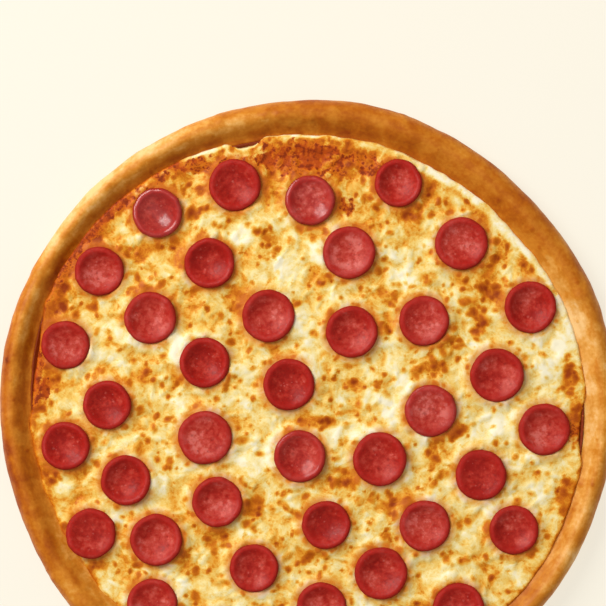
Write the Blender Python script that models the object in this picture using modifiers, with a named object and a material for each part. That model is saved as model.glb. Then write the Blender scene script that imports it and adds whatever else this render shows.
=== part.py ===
"""A whole baked pizza: a crust with a raised rim, tomato sauce, melted cheese and cupped sausage slices.

Run it with blender --background --python part.py, or from Blender's text editor.
Units are metres and +Z is up. The origin is the centre of the flat underside, on the surface it rests on.
The outer edge of the sauce and of the cheese follow the rim, so each is first made about a round rim of
even width, and then every point is moved by the same rule to the rim's real, uneven line.
"""
import math
import random

import bmesh
import bpy
from mathutils import Euler, Quaternion, Vector, noise
from mathutils.bvhtree import BVHTree

MM = 0.001

# Dough crust: a flat disc with a rolled edge, baked brown
PIZZA_RADIUS = 178 * MM        # a large pizza, 356 mm across
RIM_HEIGHT = 17.8 * MM
BELLY_HEIGHT = 8.5 * MM        # the level at which the rim is widest
CREST_INSET = 7.8 * MM         # from the outline in to the crest of the rim
LEDGE_INSET = 20 * MM          # to the ledge where the sauce ends and the rim's inner slope begins
LEDGE_HEIGHT = 11.4 * MM
FOOT_INSET = 25 * MM           # to the foot of the step below that ledge
DOUGH_FLOOR = 7 * MM           # thickness of the base under the sauce
UNDERCUT = 60                  # degrees that the outer wall curls under, down to the flat underside
OUTLINE_WAVES = ((5, 84, 0.0035), (7, 20, 0.0020), (13, 50, 0.0010))  # count, first peak (degrees), share
RIM_WIDTH_WAVE = 0.18          # the rim is this share narrower at NARROW_AT and wider a quarter turn on
NARROW_AT = 150                # degrees
CRUST_LUMP = 1.3 * MM
CRUST_LUMP_SPACING = 34 * MM
TURN_STEPS = 96
STEP_POINTS = 3                # of the section, from the foot to the ledge
SLOPE_POINTS = 4               # from the ledge to the crest

# Sauce: a thin coat that runs up to the ledge
GAP = 0.35 * MM                # clearance between pieces that lie on each other
SAUCE_THICKNESS = 1.1 * MM
SAUCE_BAND = 1.5 * MM          # the flat strip of sauce between the cheese's underside and the foot

# Cheese: one melted layer with a soft, lumpy top and an uneven edge
CHEESE_TOP = 12.6 * MM
CHEESE_EDGE_INSET = 22.8 * MM  # from the outline in to the cheese's mean edge
CHEESE_EDGE_WAVE = 0.9 * MM
CHEESE_EDGE_DROP = 0.5 * MM    # how much thinner the layer is at its edge
CHEESE_LUMP = 1.5 * MM
CHEESE_LUMP_SPACING = 17 * MM
PRESSED = 0.9 * MM             # how far the slices press the cheese down
PRESS_FULL = 1.05              # that hollow is at its full depth out to here, in slice radii
PRESS_END = 1.45               # and ends here
GRID_CELLS = 34

# Cupped slices: discs whose edge has curled up in the oven
SLICE_THICKNESS = 1.7 * MM
CUP_DEPTH = 2.4 * MM
CUP_FLAT = 0.56                # share of the radius that lies flat
CUP_FOLD = 0.30                # how much deeper the cup is along one diameter
SLICE_STEPS = 16
LEAN = 2.5                     # degrees, largest chance lean
EDGE_LEAN = 7                  # degrees that a slice against the rim leans inwards
EDGE_REACH = 158 * MM          # a slice that reaches past this radius lies against the rim
DROP_HEIGHT = 40 * MM          # from where each slice is lowered onto the pizza
SEED = 14

# Where the slices lie: angle in degrees, distance from the centre and width in millimetres, ring by ring
SLICES = (
    (128, 17.5, 30), (261, 28, 30), (60, 51, 30), (113, 58, 30.5), (156, 65, 29), (196, 61.5, 31),
    (226, 75, 29), (279, 68, 28), (325, 51, 31), (359, 71, 30), (37, 84, 29), (75, 93, 30.5),
    (124, 101, 29), (150, 104.5, 30), (179, 115.5, 28), (201.6, 112.5, 29), (221, 115.5, 30),
    (251.5, 97, 28), (274, 115, 29), (294, 104, 30.5), (315, 95.5, 29.5), (339, 107, 29.5),
    (10, 111, 31), (89.3, 120, 29), (24.5, 141, 30), (47, 130, 30.5), (68, 140, 27.5), (108, 135.5, 30),
    (127.5, 142, 29), (146.5, 144, 28.5), (165.2, 144.5, 28), (188.8, 141, 28), (210, 144.5, 29),
    (231.5, 144, 29), (248.5, 141, 30), (262.5, 139, 28), (288, 145, 29), (307, 145, 30),
    (329.5, 138, 28.5), (355, 137, 30),
)


def clear_scene():
    for obj in list(bpy.data.objects):
        bpy.data.objects.remove(obj)


def collection(name):
    made = bpy.data.collections.new(name)
    bpy.context.scene.collection.children.link(made)
    return made


def material(name, color, roughness):
    made = bpy.data.materials.new(name)
    made.use_nodes = True
    shader = made.node_tree.nodes["Principled BSDF"]
    shader.inputs["Base Color"].default_value = (*color, 1)
    shader.inputs["Roughness"].default_value = roughness
    return made


def add_part(name, mesh, finish, parts):
    obj = bpy.data.objects.new(name, mesh)
    parts.objects.link(obj)
    mesh.materials.append(finish)
    return obj


def evaluated_mesh(obj):
    bpy.context.view_layer.update()
    graph = bpy.context.evaluated_depsgraph_get()
    return bpy.data.meshes.new_from_object(obj.evaluated_get(graph))


def turned(name, profile, steps, finish, parts):
    """Turns a profile of (radius, height) points about Z: from the axis out over the top, down and back."""
    mesh = bpy.data.meshes.new(name)
    mesh.from_pydata([(r, 0, z) for r, z in profile], [(i, i + 1) for i in range(len(profile) - 1)], [])
    obj = add_part(name, mesh, finish, parts)
    screw = obj.modifiers.new("Turn", "SCREW")
    screw.steps = screw.render_steps = steps
    screw.use_merge_vertices = True
    screw.merge_threshold = 0.05 * MM
    solid = evaluated_mesh(obj)
    obj.modifiers.clear()
    obj.data = solid
    return obj


def finish_surface(obj, sharp_angle):
    obj.data.shade_smooth()
    obj.data.set_sharp_from_angle(angle=math.radians(sharp_angle))


def outline_radius(angle):
    share = sum(size * math.cos(count * (angle - math.radians(peak)))
                for count, peak, size in OUTLINE_WAVES)
    return PIZZA_RADIUS * (1 + share)


def rim_stretch(angle):
    """How wide the rim is at this angle, as a share of its mean width."""
    return 1 - RIM_WIDTH_WAVE * math.cos(2 * (angle - math.radians(NARROW_AT)))


FOOT_RADIUS = PIZZA_RADIUS - FOOT_INSET


def on_real_rim(co):
    """Moves a point from the round, even rim to the real one. The height stays."""
    angle, radius = math.atan2(co.y, co.x), math.hypot(co.x, co.y)
    foot = outline_radius(angle) - FOOT_INSET * rim_stretch(angle)
    if radius < FOOT_RADIUS:
        moved = radius * foot / FOOT_RADIUS
    else:
        moved = foot + (radius - FOOT_RADIUS) * (outline_radius(angle) - foot) / FOOT_INSET
    return Vector((moved * math.cos(angle), moved * math.sin(angle), co.z))


def step_points():
    """The step between the floor and the ledge, as (radius, height)."""
    shares = [number / (STEP_POINTS - 1) for number in range(STEP_POINTS)]
    return [(FOOT_RADIUS + (FOOT_INSET - LEDGE_INSET) * share,
             DOUGH_FLOOR + (LEDGE_HEIGHT - DOUGH_FLOOR) * share) for share in shares]


def slope_points():
    """The rim's inner slope, from past the ledge up to the crest: gentle, steepest half way."""
    shares = [number / SLOPE_POINTS for number in range(1, SLOPE_POINTS + 1)]
    return [(PIZZA_RADIUS - LEDGE_INSET + (LEDGE_INSET - CREST_INSET) * share,
             LEDGE_HEIGHT + (RIM_HEIGHT - LEDGE_HEIGHT) * (0.5 - 0.5 * math.cos(math.pi * share)))
            for share in shares]


def crust_profile():
    crest_radius = PIZZA_RADIUS - CREST_INSET
    rise = RIM_HEIGHT - BELLY_HEIGHT
    drop = BELLY_HEIGHT / math.sin(math.radians(UNDERCUT))
    outer = [(65, rise), (40, rise), (18, rise), (0, drop), (-25, drop), (-UNDERCUT, drop)]
    wall = [(crest_radius + CREST_INSET * math.cos(math.radians(turn)),
             BELLY_HEIGHT + size * math.sin(math.radians(turn))) for turn, size in outer]
    return [(0, DOUGH_FLOOR), *step_points(), *slope_points(), *wall, (0, 0)]


def make_crust(parts):
    dough = material("baked_dough", (0.60, 0.29, 0.08), 0.6)
    crust = turned("crust", crust_profile(), TURN_STEPS, dough, parts)
    for vertex in crust.data.vertices:
        moved = on_real_rim(vertex.co)
        above = max(0, vertex.co.z - CHEESE_TOP) / (RIM_HEIGHT - CHEESE_TOP)
        moved.z += CRUST_LUMP * above * noise.noise(vertex.co / CRUST_LUMP_SPACING)
        vertex.co = moved
    finish_surface(crust, 50)
    return crust


def make_sauce(parts):
    """The coat on the floor, with a lip that follows the crust's own step one gap above it."""
    tomato = material("tomato_sauce", (0.45, 0.05, 0.01), 0.3)
    low = DOUGH_FLOOR + GAP
    under = [(radius - GAP, height + GAP) for radius, height in step_points()]
    tip_radius, tip_height = under[-1]
    profile = [(0, low + SAUCE_THICKNESS), (FOOT_RADIUS - SAUCE_BAND, low + SAUCE_THICKNESS),
               (tip_radius - SAUCE_THICKNESS / 2, tip_height + SAUCE_THICKNESS / 2), *reversed(under),
               (0, low)]
    sauce = turned("sauce", profile, TURN_STEPS, tomato, parts)
    for vertex in sauce.data.vertices:
        vertex.co = on_real_rim(vertex.co)
    finish_surface(sauce, 50)
    return sauce


def slice_centre(angle, distance):
    return Vector((math.cos(math.radians(angle)), math.sin(math.radians(angle)), 0)) * distance * MM


def pressed_share(co):
    """1 under a slice, falling to 0 at the margin round it."""
    share = 0
    for angle, distance, width in SLICES:
        away = (Vector((co.x, co.y, 0)) - slice_centre(angle, distance)).length / (width * MM / 2)
        share = max(share, min(1, (PRESS_END - away) / (PRESS_END - PRESS_FULL)))
    return share


def cheese_height(co, reach):
    """The top at a point whose distance from the centre is reach, as a share of the way to the edge."""
    inner = 1 - reach ** 8
    pressed = pressed_share(co)
    lump = CHEESE_LUMP * inner * (1 - pressed) * noise.noise(Vector((co.x, co.y, 0)) / CHEESE_LUMP_SPACING)
    return CHEESE_TOP + lump - PRESSED * pressed - CHEESE_EDGE_DROP * (1 - inner)


def make_cheese(parts):
    """A square grid rounded into a disc, with its edge drawn down and in to the underside."""
    mozzarella = material("melted_cheese", (0.86, 0.62, 0.24), 0.45)
    edge_radius = PIZZA_RADIUS - CHEESE_EDGE_INSET
    bottom = DOUGH_FLOOR + SAUCE_THICKNESS + 2 * GAP
    bottom_radius = FOOT_RADIUS - SAUCE_BAND - GAP
    shape = bmesh.new()
    bmesh.ops.create_grid(shape, x_segments=GRID_CELLS, y_segments=GRID_CELLS, size=1)
    rim_edges = [edge for edge in shape.edges if edge.is_boundary]
    skirt = bmesh.ops.extrude_edge_only(shape, edges=rim_edges)["geom"]
    low_points = [item for item in skirt if isinstance(item, bmesh.types.BMVert)]
    low_edges = [item for item in skirt if isinstance(item, bmesh.types.BMEdge)]
    bmesh.ops.contextual_create(shape, geom=low_edges)
    low = set(low_points)
    for vertex in shape.verts:
        x, y = vertex.co.x, vertex.co.y
        disc = Vector((x * math.sqrt(1 - y * y / 2), y * math.sqrt(1 - x * x / 2), 0))
        angle = math.atan2(disc.y, disc.x)
        if vertex in low:
            vertex.co = on_real_rim(disc * bottom_radius)
            vertex.co.z = bottom
            continue
        wave = CHEESE_EDGE_WAVE * noise.noise(Vector((math.cos(angle), math.sin(angle), 0)) * 7)
        vertex.co = on_real_rim(disc * (edge_radius + wave * disc.length ** 6))
        vertex.co.z = cheese_height(vertex.co, disc.length)
    bmesh.ops.recalc_face_normals(shape, faces=shape.faces)
    mesh = bpy.data.meshes.new("cheese")
    shape.to_mesh(mesh)
    shape.free()
    cheese = add_part("cheese", mesh, mozzarella, parts)
    finish_surface(cheese, 40)
    return cheese


def slice_profile(radius):
    """A shallow cup: flat in the middle, with an even wall that curls up and out to the edge."""
    flat = radius * CUP_FLAT
    edge = radius - SLICE_THICKNESS * 0.45
    return [(0, SLICE_THICKNESS), (flat, SLICE_THICKNESS), (edge, CUP_DEPTH + SLICE_THICKNESS),
            (radius, CUP_DEPTH + SLICE_THICKNESS * 0.6), (flat * 1.1, 0), (0, 0)]


def surface_of(obj):
    """The points of an object in the scene's own frame, and the tree of its faces."""
    points = [obj.matrix_basis @ vertex.co for vertex in obj.data.vertices]
    return points, BVHTree.FromPolygons(points, [polygon.vertices for polygon in obj.data.polygons])


def clearances(points, tree, direction):
    """The distances from points to the faces that they meet along direction."""
    hits = [tree.ray_cast(point, direction)[3] for point in points]
    return [distance for distance in hits if distance is not None]


def lower_onto(obj, supports):
    """Lowers a slice until it lies one gap above what carries it."""
    down = Vector((0, 0, -1))
    own_points, own_tree = surface_of(obj)
    drops = []
    for points, tree in supports:
        drops += clearances(own_points, tree, down) + clearances(points, own_tree, -down)
    obj.location.z -= min(drops) - GAP


def folded(co, radius, fold_turn):
    """Deepens the cup along one diameter and opens it across that."""
    wall = max(0, math.hypot(co.x, co.y) / radius - CUP_FLAT) / (1 - CUP_FLAT)
    return CUP_FOLD * CUP_DEPTH * wall * math.cos(2 * (math.atan2(co.y, co.x) - fold_turn))


def against_rim(angle):
    """The turn about the rim's own direction that lifts a slice's outer side."""
    along_rim = (-math.sin(angle), math.cos(angle), 0)
    return Quaternion(along_rim, -math.radians(EDGE_LEAN))


def make_slices(parts, carriers):
    sausage = material("cured_sausage", (0.40, 0.035, 0.035), 0.35)
    supports = [surface_of(carrier) for carrier in carriers]
    chance = random.Random(SEED)
    for number, (angle, distance, width) in enumerate(SLICES, 1):
        radius = width * MM / 2
        obj = turned(f"pepperoni_{number:02d}", slice_profile(radius), SLICE_STEPS, sausage, parts)
        fold_turn = chance.uniform(0, math.pi)
        for vertex in obj.data.vertices:
            vertex.co.z += folded(vertex.co, radius, fold_turn)
        lean = Euler([math.radians(chance.uniform(-LEAN, LEAN)) for _ in "xy"] + [0]).to_quaternion()
        if distance * MM + radius > EDGE_REACH:
            lean = against_rim(math.radians(angle)) @ lean
        obj.rotation_euler = lean.to_euler()
        obj.location = slice_centre(angle, distance)
        obj.location.z = DROP_HEIGHT
        lower_onto(obj, supports)
        finish_surface(obj, 60)


clear_scene()
pizza = collection("pizza")
crust = make_crust(pizza)
sauce = make_sauce(pizza)
cheese = make_cheese(pizza)
make_slices(pizza, (crust, sauce, cheese))
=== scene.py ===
import math
import random

import bpy
import numpy as np
from mathutils import Matrix, Vector, noise


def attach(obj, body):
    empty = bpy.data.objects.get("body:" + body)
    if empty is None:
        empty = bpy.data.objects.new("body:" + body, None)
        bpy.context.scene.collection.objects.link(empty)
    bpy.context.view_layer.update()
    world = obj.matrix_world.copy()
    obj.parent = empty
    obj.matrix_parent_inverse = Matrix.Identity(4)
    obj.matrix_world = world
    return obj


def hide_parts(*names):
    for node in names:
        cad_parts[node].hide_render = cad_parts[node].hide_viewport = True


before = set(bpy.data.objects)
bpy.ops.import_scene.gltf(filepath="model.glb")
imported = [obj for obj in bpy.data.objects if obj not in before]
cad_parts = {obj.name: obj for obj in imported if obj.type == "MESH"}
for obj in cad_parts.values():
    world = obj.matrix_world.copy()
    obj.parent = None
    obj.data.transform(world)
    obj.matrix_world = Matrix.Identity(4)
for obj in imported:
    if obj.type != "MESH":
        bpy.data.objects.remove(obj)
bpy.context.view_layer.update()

MM = 0.001

# The crust: bread dough pressed flat by hand, with its edge left thick. The oven lifts that edge into a
# rounded rim with a thin brown skin, uneven in height and width, with small bubbles under the skin.
# The rim's own round, even form is turned first, and one rule then moves every point to its real line.
PIZZA_RADIUS = 178 * MM
RIM_HEIGHT = 17.8 * MM
BELLY_HEIGHT = 8.5 * MM
CREST_INSET = 7.8 * MM
LEDGE_INSET = 20 * MM
LEDGE_HEIGHT = 11.4 * MM
FOOT_INSET = 25 * MM
DOUGH_FLOOR = 7 * MM
UNDERCUT = 60  # degrees that the rounded edge goes on below its widest level
# Waves in the outline: how many, where one peaks in degrees, and its height as a share of the radius
OUTLINE_WAVES = ((5, 84, 0.0035), (7, 20, 0.0020), (13, 50, 0.0010))
RIM_WIDTH_WAVE = 0.18
NARROW_AT = 150  # degrees
CRUST_LUMP = 1.3 * MM
CRUST_LUMP_SPACING = 34 * MM
CHEESE_TOP = 12.6 * MM
FOOT_RADIUS = PIZZA_RADIUS - FOOT_INSET
LEDGE_RADIUS = PIZZA_RADIUS - LEDGE_INSET
CREST_RADIUS = PIZZA_RADIUS - CREST_INSET
# The rings that the section is made of, and how many points each has
CRUST_TURN_STEPS = 900
FLOOR_SHARES = (0, 0.25, 0.5, 0.75, 0.9, 0.96)
SLOPE_STEPS = 30
BELLY_FIRST_TURN = 86  # degrees
BELLY_TURN_STEP = -4
UNDERSIDE_SHARES = (1, 0.985, 0.96, 0.92, 0.86, 0.78, 0.66, 0.5, 0.3, 0.12, 0)
UNDERSIDE_ROUND = 1.2 * MM
# The skin's relief. Layers of noise are each given as height, spacing and a shift to another pattern.
SKIN_SWELLS = ((0.45 * MM, 13 * MM, 3.1), (0.14 * MM, 5 * MM, 7.7), (0.05 * MM, 2.2 * MM, 1.9))
SKIN_LEVELS = (0.5 * MM, 5 * MM)
SKIN_RADII = (FOOT_RADIUS - 20 * MM, FOOT_RADIUS)
BUBBLES = 110
BUBBLE_WIDTHS = (3 * MM, 11 * MM)
BUBBLE_INSET = 17 * MM
BUBBLE_FLOOR = 0.8 * BELLY_HEIGHT
BUBBLE_HEIGHT = 0.10  # as a share of half the bubble's width
RIM_SPAN = 18 * MM
STREAK_SHARE = 0.3  # streaks in the skin run round the rim: how much shorter they'd be if they were spots
# Where the rim is paler or browner, from baking and as painted highlight on the slopes that face the light
# (the east inner slope, the north-west crest and outer edge): angle, half the reach in degrees, amount, first
# and last section place
SIDE_BLUR = 0.12
BAKED_SIDES_AND_PAINTED_LIGHT = ((-8, 26, -0.24, 0.0, 2.0), (-50, 20, -0.24, 0.0, 2.0), (9, 25, -0.30, 0.0, 0.75),
               (214, 26, -0.34, 0.0, 0.7), (132, 20, -0.68, 1.12, 2.0), (180, 20, 0.16, 1.1, 2.0),
               (136, 32, -0.31, 0.65, 1.1), (25, 10, -0.17, 0.3, 0.85))
SEED = 14
chance = random.Random(SEED)


def outline_radius(angle):
    share = sum(size * np.cos(count * (angle - math.radians(peak))) for count, peak, size in OUTLINE_WAVES)
    return PIZZA_RADIUS * (1 + share)


def foot_radius(angle):
    stretch = 1 - RIM_WIDTH_WAVE * np.cos(2 * (angle - math.radians(NARROW_AT)))
    return outline_radius(angle) - FOOT_INSET * stretch


def to_real_rim(angle, radius):
    """Turns a radius measured on a round, even rim into the one on the real rim at this angle."""
    foot, outline = foot_radius(angle), outline_radius(angle)
    inner = radius * foot / FOOT_RADIUS
    outer = foot + (radius - FOOT_RADIUS) * (outline - foot) / FOOT_INSET
    return np.where(radius < FOOT_RADIUS, inner, outer)


def ripple(points, spacing, shift=0.0):
    """Smooth noise from -1 to 1 at each point, with lumps about one spacing apart."""
    offset = Vector((shift, -shift, 2 * shift))
    return np.array([noise.noise(Vector(point) / spacing + offset) for point in points])


def ripples(points, layers):
    """The sum of some layers of noise, each given as its height, its spacing and its shift."""
    return sum(height * ripple(points, spacing, shift) for height, spacing, shift in layers)


def slope_height(radius):
    """The crust's height at a radius of the even rim: floor, step, ledge, and gentle slope to the crest."""
    step = np.clip((radius - FOOT_RADIUS) / (LEDGE_RADIUS - FOOT_RADIUS), 0, 1)
    share = np.clip((radius - LEDGE_RADIUS) / (CREST_RADIUS - LEDGE_RADIUS), 0, 1)
    rise = 0.5 - 0.5 * np.cos(math.pi * share)
    return DOUGH_FLOOR + (LEDGE_HEIGHT - DOUGH_FLOOR) * step + (RIM_HEIGHT - LEDGE_HEIGHT) * rise


def smooth_step(values, low, high):
    share = np.clip((values - low) / (high - low), 0, 1)
    return share * share * (3 - 2 * share)


def polar_mesh(name, rings, steps):
    """A closed mesh from rings of points, pole to pole, whose first and last rings are single points."""
    count = len(rings)
    flat = pole_to_pole(rings)
    faces = []
    for turn in range(steps):
        after = (turn + 1) % steps
        faces.append((0, 1 + turn, 1 + after))
        for ring in range(count - 3):
            low, high = 1 + ring * steps, 1 + (ring + 1) * steps
            faces.append((low + turn, high + turn, high + after, low + after))
        last = 1 + (count - 3) * steps
        faces.append((last + turn, len(flat) - 1, last + after))
    mesh = bpy.data.meshes.new(name)
    mesh.from_pydata(flat.tolist(), [], faces)
    mesh.shade_smooth()
    return mesh


def angle_window(angle, middle, half):
    """1 near an angle in degrees, falling softly to 0 at one and a half times the half reach from it."""
    away = np.abs((np.degrees(angle) - middle + 180) % 360 - 180)
    return 1 - smooth_step(away, 0.5 * half, 1.5 * half)


def pole_to_pole(grid):
    """The values of a grid in the order of polar_mesh's points."""
    return np.concatenate([grid[0][:1], *grid[1:-1], grid[-1][:1]])


def store(mesh, name, values):
    mesh.attributes.new(name, "FLOAT", "POINT").data.foreach_set("value", values.astype(np.float32))


def crust_profile():
    """The even rim's section as radius, height and place, from the middle over the crest to the underside.

    The place is 0 at the inner slope's foot, 1 on the crest, 2 at the outer foot and 3 below the middle.
    """
    section = [(FOOT_RADIUS * share, DOUGH_FLOOR, 0) for share in FLOOR_SHARES]
    for step in range(SLOPE_STEPS + 1):
        radius = FOOT_RADIUS + (CREST_RADIUS - FOOT_RADIUS) * step / SLOPE_STEPS
        section.append((radius, float(slope_height(radius)), step / SLOPE_STEPS))
    drop = BELLY_HEIGHT / math.sin(math.radians(UNDERCUT))
    for turn in range(BELLY_FIRST_TURN, -UNDERCUT, BELLY_TURN_STEP):
        rise = RIM_HEIGHT - BELLY_HEIGHT if turn > 0 else drop
        height = BELLY_HEIGHT + rise * math.sin(math.radians(turn))
        place = 1 + (90 - turn) / (90 + UNDERCUT)
        section.append((CREST_RADIUS + CREST_INSET * math.cos(math.radians(turn)), height, place))
    under = section[-1][0] - UNDERSIDE_ROUND
    for share in UNDERSIDE_SHARES:
        section.append((under * share, 0, 3 - share))
    return section


def crust_mesh():
    """The section turned round the even rim, moved to the real rim, then given its swellings and bubbles."""
    section = crust_profile()
    angles = np.arange(CRUST_TURN_STEPS) * math.tau / CRUST_TURN_STEPS
    rings = []
    for radius, height, _ in section:
        real = to_real_rim(angles, np.full(CRUST_TURN_STEPS, radius))
        rings.append(np.stack([real * np.cos(angles), real * np.sin(angles),
                               np.full(CRUST_TURN_STEPS, height)], axis=1))
    grid = np.array(rings)
    even = np.array([[(radius * math.cos(a), radius * math.sin(a), height) for a in angles]
                     for radius, height, _ in section])
    above = np.clip(grid[:, :, 2] - CHEESE_TOP, 0, None) / (RIM_HEIGHT - CHEESE_TOP)
    shape = grid.shape[:2]
    flat_even = even.reshape(-1, 3)
    lump = ripple(flat_even, CRUST_LUMP_SPACING).reshape(shape)
    around = np.roll(grid, -1, axis=1) - np.roll(grid, 1, axis=1)
    along = np.gradient(grid, axis=0)
    normals = np.cross(along, around)
    normals /= np.maximum(np.linalg.norm(normals, axis=2, keepdims=True), 1e-12)
    from_middle = np.linalg.norm(grid[:, :, :2], axis=2)
    skin = smooth_step(grid[:, :, 2], *SKIN_LEVELS) * smooth_step(from_middle, *SKIN_RADII)
    swell = ripples(flat_even, SKIN_SWELLS).reshape(shape)
    blistered = np.zeros(shape)
    for _ in range(BUBBLES):
        angle, inset = chance.uniform(0, math.tau), chance.uniform(0, BUBBLE_INSET)
        half = chance.triangular(*BUBBLE_WIDTHS, BUBBLE_WIDTHS[0]) / 2
        radius = float(outline_radius(angle)) - inset
        away = np.hypot(grid[:, :, 0] - radius * math.cos(angle), grid[:, :, 1] - radius * math.sin(angle))
        away = np.where(grid[:, :, 2] > BUBBLE_FLOOR, away, math.inf)
        dome = np.clip(1 - (away / half) ** 2, 0, 1) ** 2
        swell += BUBBLE_HEIGHT * half * dome
        blistered = np.maximum(blistered, dome * chance.uniform(0.2, 1))
    grid = grid + normals * (swell * skin)[:, :, None]
    grid[:, :, 2] += CRUST_LUMP * above * lump
    grid[:, :, 2] = np.maximum(grid[:, :, 2], 0)
    places = np.repeat([[place] for _, _, place in section], CRUST_TURN_STEPS, axis=1)
    mesh = polar_mesh("crust_baked", list(grid), CRUST_TURN_STEPS)
    store(mesh, "section_place", pole_to_pole(places))
    # Paler and browner sides of the rim: partly baking, partly painted highlight on the slopes that face the
    # light
    side = np.zeros(shape)
    for middle, half, amount, first, last in BAKED_SIDES_AND_PAINTED_LIGHT:
        begun = smooth_step(places, first - SIDE_BLUR, first + SIDE_BLUR)
        within = begun * (1 - smooth_step(places, last - SIDE_BLUR, last + SIDE_BLUR))
        side += amount * within * angle_window(angles, middle, half)[None, :]
    store(mesh, "baked_side_and_painted_light", pole_to_pole(side))
    store(mesh, "blistered", pole_to_pole(blistered))
    return mesh


def colour(red, green, blue):
    """A paint colour given as it looks on screen, from 0 to 255, as the linear value that shaders read."""
    values = [channel / 255 for channel in (red, green, blue)]
    return tuple(v / 12.92 if v <= 0.04045 else ((v + 0.055) / 1.055) ** 2.4 for v in values) + (1,)


def add(tree, kind, inputs=None, **settings):
    """Adds a node with its settings, and fills its sockets with values or with other nodes' outputs."""
    made = tree.nodes.new(kind)
    for key, value in settings.items():
        setattr(made, key, value)
    for key, value in (inputs or {}).items():
        if isinstance(value, bpy.types.NodeSocket):
            tree.links.new(value, made.inputs[key])
        else:
            made.inputs[key].default_value = value
    return made


def calc(tree, operation, *values):
    return add(tree, "ShaderNodeMath", dict(enumerate(values)), operation=operation).outputs[0]


def remap(tree, value, low, high, to_low=0.0, to_high=1.0):
    """Follows value smoothly from to_low at low to to_high at high."""
    inputs = {"Value": value, "From Min": low, "From Max": high, "To Min": to_low, "To Max": to_high}
    return add(tree, "ShaderNodeMapRange", inputs, interpolation_type="SMOOTHSTEP").outputs[0]


def remap_linear(tree, value, low, high, to_low, to_high):
    inputs = {"Value": value, "From Min": low, "From Max": high, "To Min": to_low, "To Max": to_high}
    return add(tree, "ShaderNodeMapRange", inputs).outputs[0]


def mix(tree, share, first, second):
    return add(tree, "ShaderNodeMix", {0: share, 6: first, 7: second}, data_type="RGBA").outputs[2]


def cloud(tree, place, spacing, detail=2.0, roughness=0.5, distortion=0.0):
    """Soft noise about 0.5, with lumps about one spacing (in metres) apart."""
    inputs = {"Vector": place, "Scale": 1 / spacing, "Detail": detail, "Roughness": roughness,
              "Distortion": distortion}
    return add(tree, "ShaderNodeTexNoise", inputs).outputs[0]


def group(name, inputs, outputs):
    """A shader node group with these sockets, and its input and output nodes."""
    tree = bpy.data.node_groups.new(name, "ShaderNodeTree")
    for socket, kind, default in inputs:
        made = tree.interface.new_socket(socket, in_out="INPUT", socket_type=kind)
        if default is not None:
            made.default_value = default
    for socket, kind in outputs:
        tree.interface.new_socket(socket, in_out="OUTPUT", socket_type=kind)
    return tree, tree.nodes.new("NodeGroupInput").outputs, tree.nodes.new("NodeGroupOutput").inputs


def use(tree, shared, inputs):
    """Places a shared group in a material, with this material's own values."""
    return add(tree, "ShaderNodeGroup", inputs, node_tree=shared).outputs


def speckle_group():
    """Scattered spots of uneven size and outline: one in some cells, none in the rest."""
    tree, given, result = group("scattered_spots", (
        ("Place", "NodeSocketVector", None), ("Spacing", "NodeSocketFloat", 4 * MM),
        ("Share", "NodeSocketFloat", 0.5), ("Width", "NodeSocketFloat", 0.5),
        ("Blur", "NodeSocketFloat", 0.3),
    ), (("Mask", "NodeSocketFloat"), ("Chance", "NodeSocketFloat")))
    scale = calc(tree, "DIVIDE", 1.0, given["Spacing"])
    wobble = add(tree, "ShaderNodeTexNoise", {"Vector": given["Place"], "Detail": 2.0})
    tree.links.new(calc(tree, "MULTIPLY", scale, 1.7), wobble.inputs["Scale"])
    centred = {0: wobble.outputs["Color"], 1: (0.5, 0.5, 0.5)}
    push = add(tree, "ShaderNodeVectorMath", centred, operation="SUBTRACT")
    reach = add(tree, "ShaderNodeVectorMath", {0: push.outputs[0]}, operation="SCALE")
    tree.links.new(calc(tree, "MULTIPLY", given["Spacing"], 0.7), reach.inputs["Scale"])
    place = add(tree, "ShaderNodeVectorMath", {0: given["Place"], 1: reach.outputs[0]}, operation="ADD")
    cells = add(tree, "ShaderNodeTexVoronoi", {"Vector": place.outputs[0], "Scale": scale})
    parts = add(tree, "ShaderNodeSeparateColor", {"Color": cells.outputs["Color"]})
    half = calc(tree, "MULTIPLY", given["Width"], calc(tree, "ADD", 0.35, parts.outputs["Green"]))
    rim = calc(tree, "MULTIPLY", half, calc(tree, "SUBTRACT", 1.0, given["Blur"]))
    spot = add(tree, "ShaderNodeMapRange", {"Value": cells.outputs["Distance"], "From Min": half,
                                            "From Max": rim}, interpolation_type="SMOOTHSTEP").outputs[0]
    there = calc(tree, "LESS_THAN", parts.outputs["Red"], given["Share"])
    tree.links.new(calc(tree, "MULTIPLY", spot, there), result["Mask"])
    tree.links.new(parts.outputs["Blue"], result["Chance"])
    return tree


spots = speckle_group()


def ramp(tree, value, *stops):
    """Runs through screen colours, each given with its place from 0 to 1."""
    made = add(tree, "ShaderNodeValToRGB", {"Fac": value})
    while len(made.color_ramp.elements) < len(stops):
        made.color_ramp.elements.new(0.5)
    for element, (position, tint) in zip(made.color_ramp.elements, stops):
        element.position, element.color = position, colour(*tint)
    return made.outputs[0]


def total(tree, *values):
    result = values[0]
    for value in values[1:]:
        result = calc(tree, "ADD", result, value)
    return result


def attribute(tree, name):
    return add(tree, "ShaderNodeAttribute", attribute_name=name).outputs["Fac"]


def new_material(name):
    made = bpy.data.materials.new(name)
    made.use_nodes = True
    tree = made.node_tree
    place = add(tree, "ShaderNodeTexCoord").outputs["Object"]
    return made, tree, place, tree.nodes["Principled BSDF"]


def bump(tree, shader, *layers):
    """Adds relief to a shader from pairs of a height socket and its depth in metres."""
    normal = None
    for height, depth in layers:
        inputs = {"Height": height, "Distance": depth, "Strength": 1.0}
        if normal is not None:
            inputs["Normal"] = normal
        normal = add(tree, "ShaderNodeBump", inputs).outputs[0]
    tree.links.new(normal, shader.inputs["Normal"])


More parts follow.
